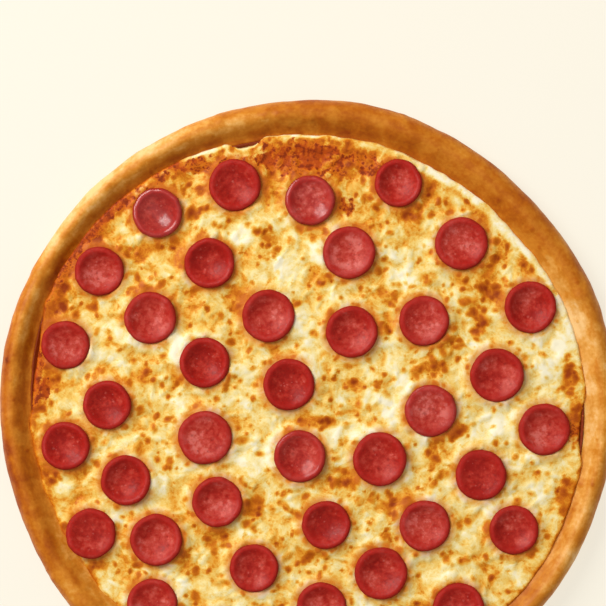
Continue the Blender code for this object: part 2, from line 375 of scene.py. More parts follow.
def crust_material():
    """Golden brown skin: browner low on the inner slope and on bubbles, paler outside, toasted underneath,
    paler or browner by side from baking, and painted highlight on the slopes that face the light.
    """
    made, tree, place, shader = new_material("baked_crust")
    section = attribute(tree, "section_place")
    blistered = attribute(tree, "blistered")
    # The sides' tone holds painted highlight on the slopes that face the light as well as baking
    side = attribute(tree, "baked_side_and_painted_light")
    wide = cloud(tree, place, 38 * MM, 2, 0.5)
    fine = cloud(tree, place, 9 * MM, 3, 0.5)
    grain = cloud(tree, place, 2 * MM, 3, 0.5)
    outward = add(tree, "ShaderNodeVectorMath", {0: place, 1: (1, 1, 0)}, operation="MULTIPLY").outputs[0]
    outward = add(tree, "ShaderNodeVectorMath", {0: outward}, operation="NORMALIZE").outputs[0]
    round_rim = {0: outward, "Scale": STREAK_SHARE * PIZZA_RADIUS}
    outward = add(tree, "ShaderNodeVectorMath", round_rim, operation="SCALE")
    across = add(tree, "ShaderNodeCombineXYZ", {"Z": calc(tree, "MULTIPLY", section, RIM_SPAN)}).outputs[0]
    along = add(tree, "ShaderNodeVectorMath", {0: outward.outputs[0], 1: across}, operation="ADD").outputs[0]
    streaks = cloud(tree, along, 6 * MM, 3, 0.55)
    baked = total(tree, remap(tree, wide, 0.3, 0.7, 0.30, 0.56), remap(tree, fine, 0.3, 0.7, -0.12, 0.12),
                  remap(tree, section, 0.5, 0.9, 0.10, 0.0), remap(tree, section, 1.45, 2.0, 0.0, -0.30),
                  remap(tree, grain, 0.3, 0.7, -0.06, 0.06), remap(tree, blistered, 0.3, 0.9, 0.0, 0.20),
                  remap(tree, streaks, 0.3, 0.7, -0.11, 0.11), side)
    tint = ramp(tree, remap_linear(tree, baked, -0.25, 1.0, 0.0, 1.0),
                (0.0, (246, 198, 131)), (0.2, (229, 162, 74)), (0.37, (210, 130, 34)),
                (0.6, (187, 100, 10)), (0.84, (158, 68, 2)), (1.0, (116, 42, 1)))
    toast = use(tree, spots, {"Place": place, "Spacing": 11 * MM, "Share": 0.55, "Width": 0.50, "Blur": 0.9})
    under = total(tree, remap(tree, fine, 0.3, 0.7, 0.0, 0.5), calc(tree, "MULTIPLY", toast["Mask"], 0.5))
    bottom = ramp(tree, under, (0.0, (226, 186, 128)), (0.45, (203, 140, 72)), (0.8, (158, 88, 32)),
                  (1.0, (112, 56, 18)))
    tint = mix(tree, remap(tree, section, 1.93, 2.02), tint, bottom)
    tree.links.new(tint, shader.inputs["Base Color"])
    tree.links.new(remap(tree, fine, 0.3, 0.7, 0.38, 0.50), shader.inputs["Roughness"])
    shader.inputs["Specular IOR Level"].default_value = 0.18
    bump(tree, shader, (fine, 0.3 * MM), (grain, 0.08 * MM))
    return made


crust = bpy.data.objects.new("crust_baked", crust_mesh())
bpy.context.scene.collection.objects.link(crust)
crust.data.materials.append(crust_material())
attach(crust, "root")
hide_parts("crust")


# The sauce: crushed tomato cooked down to a thick red coat, spread by ladle before the cheese goes on.
# It runs up the step at the rim's foot, shows where the cheese stops short of it, and dries brown there.
SAUCE_GAP = 0.35 * MM
SAUCE_THICKNESS = 1.1 * MM
SAUCE_BAND = 1.5 * MM
SAUCE_TURN_STEPS = 480
SAUCE_FLOOR_SHARES = [0, 0.3, 0.6, 0.8, 0.9, 0.95] + [0.97 + 0.03 * step / 6 for step in range(7)]
SAUCE_SLOPE_STEPS = 10
SAUCE_LUMPS = ((0.30 * MM, 4 * MM, 2.2), (0.12 * MM, 1.6 * MM, 5.0))
SAUCE_RAGGED = 0.7 * MM
SAUCE_CALM = 0.9  # how far the relief is flattened where the cheese covers the edge
BARE_RIMS = ((171, 9), (103, 3), (356, 5), (238, 3))  # where it shows: angle and half the reach, in degrees
SAUCE_TIP_RADIUS = LEDGE_RADIUS - SAUCE_GAP - SAUCE_THICKNESS / 2
SAUCE_TIP_HEIGHT = LEDGE_HEIGHT + SAUCE_GAP + SAUCE_THICKNESS / 2
SAUCE_TOP = DOUGH_FLOOR + SAUCE_GAP + SAUCE_THICKNESS


def sauce_height(radius):
    """The sauce's top at a radius of the even rim."""
    start = FOOT_RADIUS - SAUCE_BAND
    share = np.clip((radius - start) / (SAUCE_TIP_RADIUS - start), 0, 1)
    return SAUCE_TOP + (SAUCE_TIP_HEIGHT - SAUCE_TOP) * share


def sauce_mesh():
    """A thin layer that follows the crust's floor and step, with a ragged edge where it shows."""
    angles = np.arange(SAUCE_TURN_STEPS) * math.tau / SAUCE_TURN_STEPS
    hidden = 1 - np.clip(sum(angle_window(angles, middle, half) for middle, half in BARE_RIMS), 0, 1)
    start = FOOT_RADIUS - SAUCE_BAND
    radii = [start * share for share in SAUCE_FLOOR_SHARES]
    for step in range(1, SAUCE_SLOPE_STEPS + 1):
        radii.append(start + (SAUCE_TIP_RADIUS - start) * step / SAUCE_SLOPE_STEPS)
    section = [(radius, float(sauce_height(radius))) for radius in radii]
    lower = [(SAUCE_TIP_RADIUS + SAUCE_THICKNESS / 2, SAUCE_TIP_HEIGHT - SAUCE_THICKNESS * 0.3),
             (LEDGE_RADIUS - SAUCE_GAP, LEDGE_HEIGHT + SAUCE_GAP),
             (FOOT_RADIUS - SAUCE_GAP, DOUGH_FLOOR + SAUCE_GAP), (0, DOUGH_FLOOR + SAUCE_GAP)]
    rings = []
    for index, (radius, height) in enumerate(section + lower):
        real = to_real_rim(angles, np.full(SAUCE_TURN_STEPS, float(radius)))
        level = np.full(SAUCE_TURN_STEPS, height)
        ring = np.stack([real * np.cos(angles), real * np.sin(angles), level], axis=1)
        if 0 < index <= len(section):
            edge = smooth_step(radius, start, SAUCE_TIP_RADIUS)
            ring[:, 2] += ripples(ring, SAUCE_LUMPS) * (1 - SAUCE_CALM * hidden * edge)
            ragged = edge * (1 - SAUCE_CALM * hidden) * SAUCE_RAGGED * ripple(ring, 8 * MM, 9.0)
            ring[:, :2] *= (1 + ragged / PIZZA_RADIUS)[:, None]
        rings.append(ring)
    mesh = polar_mesh("sauce_tomato", rings, SAUCE_TURN_STEPS)
    near_rim = [smooth_step(radius, start, SAUCE_TIP_RADIUS) for radius, _ in section + lower]
    store(mesh, "near_rim", pole_to_pole(np.array([[share] * SAUCE_TURN_STEPS for share in near_rim])))
    return mesh


def sauce_material():
    """Red, with pulp and a few paler seeds, dried to a brown line where it ran up against the rim."""
    made, tree, place, shader = new_material("tomato_sauce")
    pulp = cloud(tree, place, 3 * MM, 4, 0.6)
    tint = mix(tree, remap(tree, pulp, 0.35, 0.65), colour(140, 34, 6), colour(188, 70, 14))
    near_rim = remap(tree, attribute(tree, "near_rim"), 0.2, 0.9)
    dried = total(tree, near_rim, remap(tree, pulp, 0.3, 0.7, -0.3, 0.1))
    tint = mix(tree, remap(tree, dried, 0.0, 0.8, 0.0, 0.85), tint, colour(126, 46, 7))
    seeds = use(tree, spots, {"Place": place, "Spacing": 3 * MM, "Share": 0.2, "Width": 0.25, "Blur": 0.5})
    tint = mix(tree, calc(tree, "MULTIPLY", seeds["Mask"], 0.6), tint, colour(224, 120, 40))
    tree.links.new(tint, shader.inputs["Base Color"])
    tree.links.new(remap(tree, pulp, 0.3, 0.7, 0.35, 0.55), shader.inputs["Roughness"])
    shader.inputs["Specular IOR Level"].default_value = 0.20
    bump(tree, shader, (pulp, 0.5 * MM))
    return made


sauce = bpy.data.objects.new("sauce_tomato", sauce_mesh())
bpy.context.scene.collection.objects.link(sauce)
sauce.data.materials.append(sauce_material())
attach(sauce, "root")
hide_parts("sauce")


# The sausage slices: thin rounds of cured, finely ground sausage. The fat melts out and the edge shrinks,
# so each one curls up into a shallow cup with a darker, rolled lip. One node tree makes every slice.
SLICE_THICKNESS = 1.7 * MM
CUP_DEPTH = 2.4 * MM
CUP_FOLD = 0.30  # how much higher the cup is along its fold, and lower across it
CUP_SUNK = 1.3 * MM
CUP_CURVE = 2.3  # the power that its height follows from the middle out
CUP_BRIM = 0.82  # where the cup is highest, as a share of its radius
CUP_ROLL = 0.32  # how far the lip turns down past the brim, as a share of the depth
CRIMP = 0.50 * MM
CRIMP_SCALE = 1.6
DENT_SPACING = 6 * MM
SLICE_TURN_STEPS = 72
SLICE_SECTION_STEPS = 36
FLAT_SHARE = 0.40  # the share of the grid that makes each face; what is left makes the rounded edge
SLICE_NODES = sorted(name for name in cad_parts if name.startswith("pepperoni"))
# What sets some slices apart, with the numbers in their nodes' names: how pale the meat is, how much oil
# lies on it, and how far its middle sank, as a share of CUP_SUNK
USUAL_TONE = 0.50
TONE_SPREAD = 0.2
SLICE_TONES = {0.10: (1, 5, 8, 13, 15, 16, 22, 29, 32), 0.65: (4, 24),
               0.88: (6, 10, 11, 14, 21, 30, 40), 1.00: (12,)}
SLICE_OIL = {0.30: (2, 10), 0.75: (24,), 1.00: (29,)}
SLICE_SINKING = {0.10: (6, 10, 11, 12, 22, 31, 33), 1.45: (2, 13, 17, 27, 40), 1.80: (5, 16, 25, 29)}


def slice_tree(finish):
    """Bends a grid into a cupped disc: X runs round it, and Y from the top's middle to the underside's."""
    tree = bpy.data.node_groups.new("cupped_slice", "GeometryNodeTree")
    tree.interface.new_socket("Geometry", in_out="OUTPUT", socket_type="NodeSocketGeometry")
    sizes = (("Diameter", 30 * MM), ("Thickness", SLICE_THICKNESS), ("Cup Depth", CUP_DEPTH),
             ("Sunk", CUP_SUNK), ("Curve", CUP_CURVE), ("Brim", CUP_BRIM), ("Roll", CUP_ROLL),
             ("Fold", CUP_FOLD), ("Fold Turn", 0.0), ("Crimp", CRIMP), ("Chance", 0.0),
             ("Tone", USUAL_TONE), ("Wet", 0.0))
    names = {}
    for name, default in sizes:
        socket = tree.interface.new_socket(name, in_out="INPUT", socket_type="NodeSocketFloat")
        socket.default_value = default
        names[name] = socket.identifier
    given = tree.nodes.new("NodeGroupInput").outputs
    counts = {"Vertices X": SLICE_TURN_STEPS + 1, "Vertices Y": SLICE_SECTION_STEPS + 1}
    grid = add(tree, "GeometryNodeMeshGrid", {"Size X": 1.0, "Size Y": 1.0, **counts})
    flat_place = add(tree, "GeometryNodeInputPosition").outputs[0]
    spot = add(tree, "ShaderNodeSeparateXYZ", {"Vector": flat_place}).outputs
    turn = calc(tree, "MULTIPLY", spot["X"], math.tau)
    along = calc(tree, "ADD", spot["Y"], 0.5)
    inward = calc(tree, "MINIMUM", along, calc(tree, "SUBTRACT", 1.0, along))
    half = calc(tree, "MULTIPLY", given["Thickness"], 0.5)
    radius = calc(tree, "MULTIPLY", given["Diameter"], 0.5)
    edge_share = remap_linear(tree, along, FLAT_SHARE, 1 - FLAT_SHARE, 0.5, -0.5)
    round_edge = calc(tree, "MULTIPLY", edge_share, math.pi)
    flat_reach = calc(tree, "MULTIPLY", calc(tree, "SUBTRACT", radius, half),
                      calc(tree, "MINIMUM", 1.0, calc(tree, "DIVIDE", inward, FLAT_SHARE)))
    reach = calc(tree, "ADD", flat_reach, calc(tree, "MULTIPLY", half, calc(tree, "COSINE", round_edge)))
    level = calc(tree, "MULTIPLY", half, calc(tree, "ADD", 1.0, calc(tree, "SINE", round_edge)))
    share = calc(tree, "DIVIDE", reach, radius)
    to_brim = calc(tree, "MINIMUM", 1.0, calc(tree, "DIVIDE", share, given["Brim"]))
    rise = calc(tree, "POWER", to_brim, given["Curve"])
    past_brim = calc(tree, "DIVIDE", calc(tree, "MAXIMUM", 0.0, calc(tree, "SUBTRACT", share, given["Brim"])),
                     calc(tree, "SUBTRACT", 1.0, given["Brim"]))
    rolled = calc(tree, "MULTIPLY", given["Roll"], calc(tree, "POWER", past_brim, 2.0))
    curl = calc(tree, "SUBTRACT", rise, rolled)
    from_fold = calc(tree, "MULTIPLY", 2.0, calc(tree, "SUBTRACT", turn, given["Fold Turn"]))
    folding = calc(tree, "MULTIPLY", given["Fold"], calc(tree, "COSINE", from_fold))
    cupped = calc(tree, "MULTIPLY", given["Cup Depth"], curl)
    cupped = calc(tree, "MULTIPLY", cupped, calc(tree, "ADD", 1.0, folding))
    sunk = calc(tree, "MULTIPLY", given["Sunk"], calc(tree, "SUBTRACT", 1.0, rise))
    lift = calc(tree, "SUBTRACT", cupped, sunk)
    cosine, sine = calc(tree, "COSINE", turn), calc(tree, "SINE", turn)
    on_ring = {"X": cosine, "Y": sine, "Z": given["Chance"]}
    ring_place = add(tree, "ShaderNodeCombineXYZ", on_ring).outputs[0]
    crimp_inputs = {"Vector": ring_place, "Scale": CRIMP_SCALE, "Detail": 2.0}
    crimps = add(tree, "ShaderNodeTexNoise", crimp_inputs).outputs[0]
    crimped = calc(tree, "MULTIPLY", calc(tree, "SUBTRACT", crimps, 0.5),
                   calc(tree, "MULTIPLY", given["Crimp"], 4.0))
    crimped = calc(tree, "MULTIPLY", crimped, curl)
    outward = calc(tree, "ADD", reach, crimped)
    flat_point = {"X": calc(tree, "MULTIPLY", outward, cosine), "Y": calc(tree, "MULTIPLY", outward, sine)}
    surface_place = add(tree, "ShaderNodeCombineXYZ", {**flat_point, "Z": given["Chance"]}).outputs[0]
    dent_inputs = {"Vector": surface_place, "Scale": 1 / DENT_SPACING, "Detail": 2.0}
    dents = add(tree, "ShaderNodeTexNoise", dent_inputs).outputs[0]
    height = calc(tree, "ADD", calc(tree, "ADD", level, lift), calc(tree, "MULTIPLY", crimped, 0.6))
    dent_depth = calc(tree, "MULTIPLY", given["Crimp"], remap_linear(tree, along, 0.45, 0.60, 1.0, 0.0))
    dented = calc(tree, "MULTIPLY", calc(tree, "SUBTRACT", dents, 0.5), dent_depth)
    height = calc(tree, "ADD", height, dented)
    moved = add(tree, "ShaderNodeCombineXYZ", {**flat_point, "Z": height}).outputs[0]
    kept = grid.outputs["Mesh"]
    for name, value in (("reach", share), ("tone", given["Tone"]), ("wet", given["Wet"])):
        kept = add(tree, "GeometryNodeStoreNamedAttribute", {"Geometry": kept, "Name": name, "Value": value},
                   data_type="FLOAT", domain="POINT").outputs[0]
    bent = add(tree, "GeometryNodeSetPosition", {"Geometry": kept, "Position": moved}).outputs[0]
    joined = add(tree, "GeometryNodeMergeByDistance", {"Geometry": bent, "Distance": 0.01 * MM}).outputs[0]
    smooth = add(tree, "GeometryNodeSetShadeSmooth", {"Geometry": joined}).outputs[0]
    real = add(tree, "GeometryNodeRealizeInstances", {"Geometry": smooth}).outputs[0]
    painted = add(tree, "GeometryNodeSetMaterial", {"Geometry": real, "Material": finish}).outputs[0]
    add(tree, "NodeGroupOutput", {"Geometry": painted})
    return tree, names


def sausage_material():
    """Red meat with specks of pale fat and dark meat, a browner, rougher lip that is partly darkened as
    painted shade, and pools of oil on some.
    """
    made, tree, place, shader = new_material("cured_sausage")
    reach, tone, wet = attribute(tree, "reach"), attribute(tree, "tone"), attribute(tree, "wet")
    meat = cloud(tree, place, 2.8 * MM, 4, 0.6)
    wide = cloud(tree, place, 10 * MM, 2, 0.5)
    pale = total(tree, remap(tree, wide, 0.35, 0.68, -0.15, 0.35), calc(tree, "MULTIPLY", tone, 0.70),
                 remap(tree, meat, 0.3, 0.7, -0.26, 0.26))
    tint = ramp(tree, pale, (0.0, (158, 20, 8)), (0.35, (180, 40, 26)), (0.7, (198, 70, 56)),
                (1.0, (216, 108, 98)))
    fat = use(tree, spots, {"Place": place, "Spacing": 2.3 * MM, "Share": 0.42, "Width": 0.38, "Blur": 0.9})
    tint = mix(tree, calc(tree, "MULTIPLY", fat["Mask"], 0.34), tint, colour(228, 130, 118))
    dark = use(tree, spots, {"Place": place, "Spacing": 2.9 * MM, "Share": 0.45, "Width": 0.40, "Blur": 0.9})
    tint = mix(tree, calc(tree, "MULTIPLY", dark["Mask"], 0.46), tint, colour(122, 12, 8))
    tint = mix(tree, remap(tree, reach, 0.52, 0.84, 0.0, 0.75), tint, colour(176, 26, 16))
    # The lip is darkened all round: partly the meat's own browner edge, partly painted shade for the edge
    # turned from the light
    tint = mix(tree, remap(tree, reach, 0.86, 1.0, 0.0, 0.85), tint, colour(154, 27, 6))
    tree.links.new(tint, shader.inputs["Base Color"])
    rough = total(tree, remap(tree, meat, 0.3, 0.7, 0.36, 0.54), remap(tree, reach, 0.84, 0.94, 0.0, 0.25))
    tree.links.new(rough, shader.inputs["Roughness"])
    pools = remap(tree, wide, 0.36, 0.54, 0.45, 1.0)
    tree.links.new(calc(tree, "MULTIPLY", wet, pools), shader.inputs["Coat Weight"])
    shader.inputs["Coat Roughness"].default_value = 0.20
    shader.inputs["Specular IOR Level"].default_value = 0.22
    shader.inputs["Subsurface Weight"].default_value = 0.35
    shader.inputs["Subsurface Radius"].default_value = (1.0, 0.18, 0.10)
    shader.inputs["Subsurface Scale"].default_value = 3 * MM
    bump(tree, shader, (meat, 0.30 * MM), (fat["Mask"], 0.05 * MM))
    return made


def cup_lift(share, turn, fold, sunk):
    """How far a slice's underside is above its base, by the same rule as in slice_tree."""
    rise = np.minimum(share / CUP_BRIM, 1) ** CUP_CURVE
    curl = rise - CUP_ROLL * np.clip((share - CUP_BRIM) / (1 - CUP_BRIM), 0, 1) ** 2
    return CUP_DEPTH * curl * (1 + CUP_FOLD * np.cos(2 * (turn - fold))) - sunk * (1 - rise)


def resting_place(node):
    """Where a solid slice lies: its matrix, its radius and the turn of its fold, read from its own points."""
    points = np.array([vertex.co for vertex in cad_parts[node].data.vertices])
    points = np.unique(points.round(6), axis=0)
    middle = points.mean(0)
    up = np.linalg.svd(points - middle)[2][2]
    up = up * math.copysign(1, up[2])
    heights = (points - middle) @ up
    across = points - middle - np.outer(heights, up)
    reach = np.linalg.norm(across, axis=1)
    first = np.array((1, 0, 0)) - up[0] * up
    first /= np.linalg.norm(first)
    second = np.cross(up, first)
    edge = reach > 0.9 * reach.max()
    turns = np.arctan2(across[edge] @ second, across[edge] @ first)
    risen = heights[edge]
    fold = 0.5 * math.atan2((risen * np.sin(2 * turns)).sum(), (risen * np.cos(2 * turns)).sum())
    base = middle + up * heights[reach < 0.1 * reach.max()].min()
    matrix = Matrix.Identity(4)
    for column, axis in enumerate((first, second, up, base)):
        matrix.col[column][:3] = axis
    return matrix, float(reach.max()), fold


def own_value(node, groups, usual):
    """The value of the group of slices that this one is in, or the usual value."""
    return next((value for value, numbers in groups.items() if int(node.split("_")[1]) in numbers), usual)


def sunk_by(node):
    """How far this slice's middle is below the level that its solid rests at."""
    return CUP_SUNK * own_value(node, SLICE_SINKING, 1.0)


slice_places = {node: resting_place(node) for node in SLICE_NODES}
sausage = sausage_material()
slice_nodes, slice_inputs = slice_tree(sausage)
for node in SLICE_NODES:
    matrix, radius, fold = slice_places[node]
    maker = bpy.data.objects.new("slice_maker", bpy.data.meshes.new("slice_maker"))
    bpy.context.scene.collection.objects.link(maker)
    modifier = maker.modifiers.new("Cupped Slice", "NODES")
    modifier.node_group = slice_nodes
    modifier[slice_inputs["Diameter"]] = 2 * radius
    modifier[slice_inputs["Fold Turn"]] = fold
    own = chance.uniform(0, 50)
    modifier[slice_inputs["Chance"]] = own
    modifier[slice_inputs["Tone"]] = own_value(node, SLICE_TONES, USUAL_TONE) + TONE_SPREAD * (own % 1 - 0.5)
    modifier[slice_inputs["Wet"]] = own_value(node, SLICE_OIL, 0.0)
    modifier[slice_inputs["Sunk"]] = sunk_by(node)
    graph = bpy.context.evaluated_depsgraph_get()
    mesh = bpy.data.meshes.new_from_object(maker.evaluated_get(graph))
    bpy.data.objects.remove(maker)
    mesh.transform(matrix)
    piece = bpy.data.objects.new(f"cupped_{node}", mesh)
    bpy.context.scene.collection.objects.link(piece)
    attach(piece, "root")
    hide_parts(node)


# The cheese: grated mozzarella that melted into one soft layer round and under the slices. Shreds still
# show as low, rounded lumps, cream where thick and golden where oil gathered, with brown blisters.
CHEESE_CELLS = 306
CHEESE_EDGE = 160.0 * MM
CHEESE_EDGE_WAVES = ((0.8 * MM, 16 * MM, 1.3), (0.48 * MM, 6 * MM, 8.3))
CHEESE_LUMP = 1.5 * MM
CHEESE_LUMP_SPACING = 17 * MM
CHEESE_EDGE_DROP = 0.5 * MM
CHEESE_BOTTOM = SAUCE_TOP + SAUCE_GAP
CHEESE_BOTTOM_RADIUS = FOOT_RADIUS - SAUCE_BAND - SAUCE_GAP
CHEESE_EDGE_ROUND = 1.8 * MM
EDGE_PULLED_IN = 4.4 * MM  # where the sauce shows
CHEESE_RIPPLES = ((0.40 * MM, 7 * MM, 2.7), (0.12 * MM, 3 * MM, 6.1))
EDGE_HELD_UP = (5 * MM, 13 * MM)  # how far in from the edge it is kept from sagging, and where that ends
EDGE_LEVEL = CHEESE_TOP + 0.3 * MM  # its least height there
LEAST_THICKNESS = 0.5 * MM
SAUCE_CLEARANCE = 0.08 * MM
INTO_SLOPE = 0.5 * MM  # how far its edge goes into the crust's slope
SWELL = 1.3 * MM  # how far it rises round each slice
SLICE_SEAT = 0.15 * MM  # how far the middle of a slice is pressed into it
SEAT_LIMIT = 0.25 * MM
LIP_CLEARANCE = 0.35 * MM  # how far it stays below the outer part of a slice
RISE_PAST_LIP = 60 * MM  # how steeply it may rise past the lip, over one radius of the slice
SHREDS = 1500
SHRED_FIELD = 160 * MM
SHRED_HALF_LENGTHS = (3.5, 8)  # in millimetres
SHRED_HALF_WIDTHS = (1.5, 2.9)
SHRED_HEIGHT = 0.75 * MM
SHRED_MEAN = 0.45
BLOB_FIELD = 157 * MM
BLISTERS = 3200
BLISTER_WIDTHS = (2.4 * MM, 7 * MM)
BLISTER_HEIGHT = 0.25 * MM
SOFT_CURDS = 160
SOFT_CURD_WIDTHS = (8 * MM, 20 * MM)
CURD_HEIGHT = 0.6 * MM
BREAK_DEPTH = 0.35 * MM
ZONE_BLUR = 4  # millimetres
# Where the edge is pale, and where it is red-brown, partly sauce and partly painted shade along the shaded
# inner foot of the rim in the north-west and west: angle, half the reach in degrees, and width in millimetres
PALE_RIMS = ((48, 26, 4.2), (16, 7, 5.0), (94, 11, 1.0), (112, 4, 2.6))
SAUCE_AND_SHADE_RIMS = ((172, 7, 5.0), (134, 20, 7.0))
# Where it stayed paler or baked deeper, and painted shade at the north-west and west edge where the rim's
# inner slope
# is shaded (the last two): angle, half the reach in degrees, from and to which radius, how much
CHEESE_SIDES_AND_PAINTED_SHADE = ((0, 360, 0, 58, 0.07), (0, 26, 40, 120, 0.05), (50, 20, 120, 148, -0.09),
                (92, 18, 122, 148, -0.12), (130, 20, 40, 118, -0.06), (130, 18, 122, 144, 0.06),
                (174, 20, 122, 150, 0.08), (218, 18, 118, 148, 0.08), (315, 16, 62, 118, 0.07),
                (315, 14, 122, 148, -0.07), (200, 8, 150, 160, -0.10), (-28, 8, 149, 161, -0.22),
                (152, 18, 154, 180, -0.34), (184, 12, 155, 180, -0.26))
# Places that the photograph shows, in millimetres from the centre: x, y, half width, half height
SAUCE_BREAKS = ((-4, 144, 42, 12), (38, 141, 12, 8), (22, 118, 6, 7), (-151, 12, 4, 9), (155, -13, 8, 9),
                (-69, 141, 15, 6))
GOLDEN_ZONES = ((-2, 146, 46, 14), (-30, 154, 15, 6), (-68, 141, 19, 8), (-114, 106, 11, 9),
                (-100, 89, 12, 7), (-42, 62, 9, 9), (-94, 68, 12, 5), (-142, 62, 6, 13), (-147, 16, 6, 14),
                (56, 116, 11, 10), (68, 128, 8, 8), (16, 117, 7, 10), (9, 73, 6, 5), (106, 68, 9, 13),
                (99, 51, 6, 10), (74, 39, 12, 8), (45, 48, 8, 6), (71, 25, 8, 6), (27, 13, 6, 5),
                (7, 12, 5, 6), (155, -6, 6, 16), (152, 17, 7, 13), (149, -50, 6, 18), (85, -13, 8, 5),
                (74, -25, 7, 9), (19, -40, 15, 7), (51, -54, 13, 10), (-33, -59, 8, 8), (-54, -75, 10, 9),
                (-120, -88, 9, 8), (-74, -86, 9, 6), (7, -8, 15, 4), (-120, 90, 6, 10), (128, 84, 6, 12),
                (-60, 96, 5, 8), (38, -92, 12, 8), (-148, -36, 7, 18))
WHITE_CURDS = ((-13, 77, 15, 16), (5, 90, 6, 11), (-39, 100, 10, 8), (-103, 97, 9, 6), (-103, 42, 13, 8),
               (-117, 31, 11, 6), (-74, 34, 8, 10), (140, 22, 10, 8), (146, 36, 5, 10), (111, -10, 10, 8),
               (138, -45, 7, 15), (126, -30, 8, 6), (-4, 51, 8, 12), (-141, -61, 6, 8), (-88, -42, 8, 7),
               (56, 14, 7, 6), (30, -14, 10, 6), (-38, 22, 9, 6), (92, 98, 7, 6), (-20, -28, 9, 6),
               (60, 72, 8, 6))


def near(points, zones):
    """How far inside some soft, uneven ovals each point is: 1 at the middle of one, 0 outside them all."""
    share = np.zeros(len(points))
    wobble = 1 + 0.45 * ripple(points, 7 * MM, 4.4)
    for x, y, half_width, half_height in zones:
        away_x = (points[:, 0] - x * MM) / (half_width * MM)
        away_y = (points[:, 1] - y * MM) / (half_height * MM)
        share = np.maximum(share, 1 - smooth_step(np.hypot(away_x, away_y) * wobble, 0.40, 1.25))
    return share


def shred_relief(x, y, cell):
    """Low rounded ridges of half melted shreds, as a height from 0 to 1 over the grid."""
    relief = np.zeros_like(x)
    for _ in range(SHREDS):
        distance = SHRED_FIELD * math.sqrt(chance.random())
        turn, lie = chance.uniform(0, math.tau), chance.uniform(0, math.pi)
        centre_x, centre_y = distance * math.cos(turn), distance * math.sin(turn)
        half_length = chance.uniform(*SHRED_HALF_LENGTHS) * MM
        half_width = chance.uniform(*SHRED_HALF_WIDTHS) * MM
        level = chance.uniform(0.45, 1)
        near_by = (np.abs(x - centre_x) < half_length + cell) & (np.abs(y - centre_y) < half_length + cell)
        along = (x[near_by] - centre_x) * math.cos(lie) + (y[near_by] - centre_y) * math.sin(lie)
        across = (y[near_by] - centre_y) * math.cos(lie) - (x[near_by] - centre_x) * math.sin(lie)
        across = across + 0.25 * half_width * np.sin(along / (2.2 * MM))
        away = (along / half_length) ** 2 + (across / half_width) ** 2
        bumps = level * np.clip(1 - away, 0, 1) ** 0.8
        relief[near_by] = np.maximum(relief[near_by], bumps)
    return relief


def scattered_blobs(x, y, count, widths, reject=None):
    """Soft uneven ovals at random places, as 0 at an outline rising to each one's own level at its middle."""
    level = np.zeros_like(x)
    for _ in range(count):
        distance, turn = BLOB_FIELD * math.sqrt(chance.random()), chance.uniform(0, math.tau)
        centre_x, centre_y = distance * math.cos(turn), distance * math.sin(turn)
        half = chance.triangular(*widths, widths[0]) / 2
        stretch, lie, top = chance.uniform(1, 1.7), chance.uniform(0, math.pi), chance.uniform(0.6, 1)
        pick = chance.random()
        near_by = (np.abs(x - centre_x) < half * stretch) & (np.abs(y - centre_y) < half * stretch)
        if not near_by.any() or (reject is not None and pick > reject[near_by].mean()):
            continue
        along = (x[near_by] - centre_x) * math.cos(lie) + (y[near_by] - centre_y) * math.sin(lie)
        across = (y[near_by] - centre_y) * math.cos(lie) - (x[near_by] - centre_x) * math.sin(lie)
        away = (along / (half * stretch)) ** 2 + (across / half) ** 2
        level[near_by] = np.maximum(level[near_by], top * np.clip(1 - away, 0, 1))
    return level


def edge_band(angle, depth, bands):
    """How far inside some bands along the edge each point is, by its angle and its depth from the edge."""
    inside = np.zeros_like(depth)
    for middle, half, width in bands:
        shallow = 1 - smooth_step(depth, 0.6 * width * MM, 1.4 * width * MM)
        inside += angle_window(angle, middle, half) * shallow
    return np.clip(inside, 0, 1)


